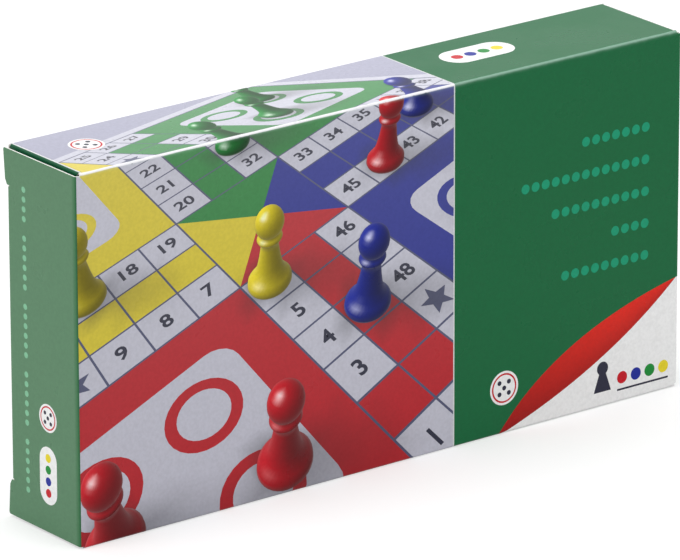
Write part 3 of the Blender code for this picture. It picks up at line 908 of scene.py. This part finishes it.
bm = flat_sheet()
round_badge(bm, -104 * MM, height + 22.9 * MM, BIG_BADGE, 8, step=0.5)
score(bm, SLEEVE_CREASES)
fold(bm, SLEEVE_CREASES)
top_badge = piece("top_badge_ink", bm, laminated)
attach(top_badge, "carton")

# End print. Down each closure: a line of small pale dots beside the back, and a round and
# a pill badge near the foot. It rides with its closure.
END_MINT = printed(128, 190, 152)
for side, name in ((-1, "left"), (1, "right")):
    bm = flat_sheet()
    for number in range(32):
        if number % 7 != 6:
            rise = (12.2 + 3.3 * number) * MM
            dot(bm, side * (height / 2 - rise), 28.6 * MM, 1.05 * MM, END_MINT, 1, steps=16)
    round_at = side * (height / 2 - 40.1 * MM)
    round_badge(bm, round_at, 17 * MM, SMALL_BADGE, 1, rim_steps=36)
    pill_at = side * (height / 2 - 20.3 * MM)
    pill(bm, pill_at, 17.2 * MM, 9.9 * MM, 4.7 * MM, BADGE_WHITE, 1)
    pips(bm, pill_at, 17.2 * MM, 4.0 * MM, 1.5 * MM, FOUR_IN_A_ROW, GAME_COLOURS, 2)
    score(bm, [closure_lines[name]])
    fold(bm, [closure_lines[name]])
    end_print = piece(f"{name}_closure_ink", bm, laminated)
    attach(end_print, f"{name}_closure")

# Back print. A flat drawing of the board in a white frame, and rows of mint dots beside
# it, on the sleeve's back panel.
BACK_BOARD = 100 * MM
bm = flat_sheet()
draw_board(bm)
number_track(bm)
level = bm.verts.layers.float["layer"]
square = BACK_BOARD / (SQUARES + 1.1)
for vert in bm.verts:
    vert.co = (
        -(vert.co.x - SQUARES / 2) * square - 48 * MM,
        height + depth + height / 2 - (vert.co.y - SQUARES / 2) * square,
        (vert[level] + 1) * INK_LAYER,
    )
for row, count in enumerate((11, 14, 9, 13, 12, 14, 8, 5)):
    row_at = height + depth + (26 + 10.5 * row) * MM
    for number in range(count):
        dot(bm, (18 + 6.2 * number) * MM, row_at, 1.25 * MM, MINT, 1, steps=16)
score(bm, SLEEVE_CREASES)
fold(bm, SLEEVE_CREASES)
back_print = piece("back_ink", bm, laminated)
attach(back_print, "carton")

# Glue flap and leaflet. The blank's last panel, bare and glued up inside the back, and
# the rules, a folded sheet of thin coated paper standing behind the case.


def dress(material, *nodes):
    """Gives CAD nodes a material of the scene's."""
    for node in nodes:
        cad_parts[node].material_slots[0].material = material


dress(bare, "glue_flap")

paper, tree, shader, where = finish("leaflet_paper", 0.55)
weave = shared(
    tree, fibre_group,
    {
        "Place": where, "Stretch": (1, 1, 0.4), "Scale": 900,
        "Dark": (0.74, 0.74, 0.71), "Pale": (0.83, 0.83, 0.80),
    },
)
feed(tree, shader.inputs["Base Color"], weave["Colour"])
bumped(tree, shader, (noise(tree, where, 30, detail=2), 0.3 * MM, 0.4), (weave["Height"], 0.006 * MM, 0.5))
dress(paper, "rules_leaflet")

# Folding case. Two moulded trays of fine-textured black plastic, hinged along the top on
# two pins of drawn steel wire.
moulded, tree, shader, where = finish("moulded_case", 0.5)
texture = tree.nodes.new("ShaderNodeTexVoronoi")
texture.inputs["Scale"].default_value = 1400
feed(tree, texture.inputs["Vector"], where)
gloss = shared(tree, gloss_group, {"Place": where, "Scale": 60, "Glossy": 0.42, "Dull": 0.56})
blacks = mixed(tree, gloss["Cloud"], (0.018, 0.018, 0.021), (0.034, 0.034, 0.038))
feed(tree, shader.inputs["Base Color"], blacks)
feed(tree, shader.inputs["Roughness"], gloss["Roughness"])
bumped(tree, shader, (texture.outputs["Distance"], 0.03 * MM, 0.6))
dress(moulded, "case_front_half", "case_back_half")

steel, tree, shader, where = finish("drawn_steel", 0.3)
shader.inputs["Metallic"].default_value = 1
wire = shared(
    tree, gloss_group,
    {"Place": drawn_out(tree, where, (0.03, 1, 1)), "Scale": 3000, "Glossy": 0.22, "Dull": 0.42},
)
feed(tree, shader.inputs["Base Color"], mixed(tree, wire["Cloud"], (0.52, 0.52, 0.53), (0.70, 0.70, 0.70)))
feed(tree, shader.inputs["Roughness"], wire["Roughness"])
bumped(tree, shader, (wire["Cloud"], 0.005 * MM, 0.5))
dress(steel, "hinge_pin_left", "hinge_pin_right")

# Playing faces. A printed steel sheet set into each outer face of the case, so that the
# magnets hold. Each has half of the board, and the fold seam runs along the top.
sheet_steel, tree, shader, where = finish("coated_steel", 0.3)
rolled = shared(
    tree, gloss_group,
    {"Place": drawn_out(tree, where, (0.05, 1, 1)), "Scale": 240, "Glossy": 0.24, "Dull": 0.36},
)
coats = mixed(tree, rolled["Cloud"], (0.60, 0.60, 0.67), (0.68, 0.68, 0.75))
feed(tree, shader.inputs["Base Color"], coats)
feed(tree, shader.inputs["Roughness"], rolled["Roughness"])
bumped(tree, shader, (noise(tree, where, 20, detail=1), 0.3 * MM, 0.3))
dress(sheet_steel, "playing_face_front", "playing_face_back")

lithograph, tree, shader, where = finish("lithographed_ink", 0.3)
feed(tree, shader.inputs["Base Color"], shared(tree, ink_group, {"Place": where, "Scale": 1200})["Colour"])
satin = shared(tree, gloss_group, {"Place": where, "Scale": 70, "Glossy": 0.22, "Dull": 0.34})
feed(tree, shader.inputs["Roughness"], satin["Roughness"])
bumped(tree, shader, (noise(tree, where, 20, detail=1), 0.3 * MM, 0.3))

SHEET_EDGE = 0.08  # of a square, round the printed board
SEAM = SQUARES / 2
for node, facing in (("playing_face_front", -1), ("playing_face_back", 1)):
    low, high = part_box(node)
    outer = low.y if facing < 0 else high.y
    bm = flat_sheet()
    draw_board(bm)
    number_track(bm)
    cut(bm, (-SHEET_EDGE, 0, 0), (-1, 0, 0), clear=True)
    cut(bm, (SQUARES + SHEET_EDGE, 0, 0), (1, 0, 0), clear=True)
    cut(bm, (0, -SHEET_EDGE, 0), (0, -1, 0), clear=True)
    cut(bm, (0, SQUARES + SHEET_EDGE, 0), (0, 1, 0), clear=True)
    cut(bm, (0, SEAM, 0), (0, -facing, 0), clear=True)
    level = bm.verts.layers.float["layer"]
    square = (high.x - low.x - 1 * MM) / (SQUARES + 2 * SHEET_EDGE)
    for vert in bm.verts:
        u, w, _ = vert.co
        vert.co = (
            (u - SEAM) * square,
            outer + facing * (vert[level] + 1) * INK_LAYER,
            high.z - 0.2 * MM - facing * (w - SEAM) * square,
        )
    face_print = piece(f"{node}_ink", bm, lithograph)
    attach(face_print, "carton")

# Playing pieces. Sixteen pressed plastic counters with a nickel-plated magnet in the foot
# of each, stacked in the front tray, and an ivory die with sunk spots.
for word, colour in zip(("red", "blue", "green", "yellow"), GAME_COLOURS):
    glossy, tree, shader, where = finish(f"counter_{word}", 0.25)
    swirl = shared(tree, gloss_group, {"Place": where, "Scale": 180, "Glossy": 0.18, "Dull": 0.34})
    deep = tuple(0.8 * channel for channel in colour)
    feed(tree, shader.inputs["Base Color"], mixed(tree, swirl["Cloud"], deep, tuple(colour)))
    feed(tree, shader.inputs["Roughness"], swirl["Roughness"])
    bumped(tree, shader, (noise(tree, where, 900, detail=2), 0.01 * MM, 0.4))
    dress(glossy, *[f"counter_{word}_{number}" for number in range(1, 5)])

plated, tree, shader, where = finish("plated_magnet", 0.25)
shader.inputs["Metallic"].default_value = 1
scuffs = shared(tree, gloss_group, {"Place": where, "Scale": 1600, "Glossy": 0.16, "Dull": 0.4})
nickel = mixed(tree, scuffs["Cloud"], (0.50, 0.49, 0.46), (0.66, 0.65, 0.62))
feed(tree, shader.inputs["Base Color"], nickel)
feed(tree, shader.inputs["Roughness"], scuffs["Roughness"])
bumped(tree, shader, (scuffs["Cloud"], 0.004 * MM, 0.4))
for word in ("red", "blue", "green", "yellow"):
    dress(plated, *[f"magnet_{word}_{number}" for number in range(1, 5)])

ivory, tree, shader, where = finish("die_ivory", 0.22)
veins = shared(tree, gloss_group, {"Place": where, "Scale": 260, "Glossy": 0.18, "Dull": 0.28})
feed(tree, shader.inputs["Base Color"], mixed(tree, veins["Cloud"], (0.72, 0.70, 0.64), (0.84, 0.83, 0.79)))
feed(tree, shader.inputs["Roughness"], veins["Roughness"])
bumped(tree, shader, (veins["Cloud"], 0.008 * MM, 0.3))
dress(ivory, "die")

spot_paint, tree, shader, where = finish("die_spot_paint", 0.3)
worn_paint = shared(tree, gloss_group, {"Place": where, "Scale": 900, "Glossy": 0.22, "Dull": 0.4})
blacks = mixed(tree, worn_paint["Cloud"], (0.012, 0.012, 0.014), (0.03, 0.03, 0.034))
feed(tree, shader.inputs["Base Color"], blacks)
feed(tree, shader.inputs["Roughness"], worn_paint["Roughness"])

SPOT_SPACING = 3 * MM
SPOT_RADIUS = 0.95 * MM
SPOT_SUNK = 0.1 * MM  # the paint's level below the face
CORNERS = ((-1, -1), (1, 1), (-1, 1), (1, -1))
MIDDLE = ((0, 0),)
# The die's faces: the axis that each looks along, which way, and its spots
DIE_FACES = (
    (2, 1, MIDDLE), (2, -1, CORNERS + ((-1, 0), (1, 0))), (0, 1, CORNERS[:2]),
    (0, -1, CORNERS + MIDDLE), (1, -1, CORNERS[:2] + MIDDLE), (1, 1, CORNERS),
)
low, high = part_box("die")
half_side = (high.x - low.x) / 2
bm = bmesh.new()
for axis, sign, spots in DIE_FACES:
    outward = Vector()
    outward[axis] = sign
    for first, second in spots:
        spot = outward * (half_side - SPOT_SUNK)
        spot[axis - 2] = first * SPOT_SPACING
        spot[axis - 1] = second * SPOT_SPACING
        turned = outward.to_track_quat("Z", "Y").to_matrix().to_4x4()
        place = Matrix.Translation((low + high) / 2 + spot) @ turned
        bmesh.ops.create_circle(bm, cap_ends=True, segments=20, radius=SPOT_RADIUS, matrix=place)
die_spots = piece("die_spots", bm, spot_paint)
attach(die_spots, "carton")

# Table, light and camera. A white sweep under soft lamps, seen from the left and a little
# above through a long lens.


def behind_everything(tree):
    """1 where the camera looks or a mirror shows the place, 0 for the light that it gives."""
    path = tree.nodes.new("ShaderNodeLightPath")
    seen = sums(tree, "MAXIMUM", path.outputs["Is Camera Ray"], path.outputs["Is Glossy Ray"])
    return sums(tree, "MAXIMUM", seen, path.outputs["Is Transmission Ray"])


table_white, tree, shader, where = finish("table_white", 0.9)
shader.inputs["Base Color"].default_value = (0.60, 0.60, 0.60, 1)
shader.inputs["Specular IOR Level"].default_value = 0
shader.inputs["Emission Color"].default_value = (1, 1, 1, 1)
tree.links.new(sums(tree, "MULTIPLY", behind_everything(tree), 0.46), shader.inputs["Emission Strength"])
bm = bmesh.new()
bmesh.ops.create_grid(bm, x_segments=1, y_segments=1, size=6)
table = piece("table", bm, table_white)

world = bpy.data.worlds.new("studio")
bpy.context.scene.world = world
world.use_nodes = True
tree = world.node_tree
sky = tree.nodes["Background"]
sky.inputs["Color"].default_value = (1, 1, 1, 1)
strength = sums(tree, "ADD", sums(tree, "MULTIPLY", behind_everything(tree), 0.45), 0.55)
tree.links.new(strength, sky.inputs["Strength"])


def lamp(name, place, aim, size, watts):
    """A square soft lamp."""
    light = bpy.data.lights.new(name, "AREA")
    light.size = size
    light.energy = watts
    made = bpy.data.objects.new(name, light)
    made.location = place
    made.rotation_euler = (Vector(aim) - Vector(place)).to_track_quat("-Z", "Y").to_euler()
    bpy.context.collection.objects.link(made)


centre = (0, 0, height / 2)
lamp("overhead", (0.1, 0.2, 1.3), centre, 1.2, 9)
lamp("left_side", (-1.3, 0.2, 0.7), centre, 0.9, 7)
lamp("front", (0.5, -1.6, 0.9), centre, 1.0, 9)

AZIMUTH, ELEVATION, ROLL = math.radians(-37.57), math.radians(19.26), math.radians(-0.14)
DISTANCE = 2.560  # from the camera to what it looks at
TARGET = Vector((-0.0043, 0, 0.0605))
turned = Matrix.Rotation(AZIMUTH, 4, "Z")
tipped = Matrix.Rotation(math.pi / 2 - ELEVATION, 4, "X")
banked = Matrix.Rotation(ROLL, 4, "Z")
lens = bpy.data.cameras.new("camera")
lens.sensor_width = 36  # in millimetres, as is the lens
lens.lens = 411.4
lens.clip_start = 0.1
lens.clip_end = 20
camera = bpy.data.objects.new("camera", lens)
stand = Matrix.Translation(TARGET) @ turned @ tipped @ banked
camera.matrix_world = stand @ Matrix.Translation((0, 0, DISTANCE))
bpy.context.collection.objects.link(camera)
bpy.context.scene.camera = camera
bpy.context.scene.view_settings.view_transform = "Standard"
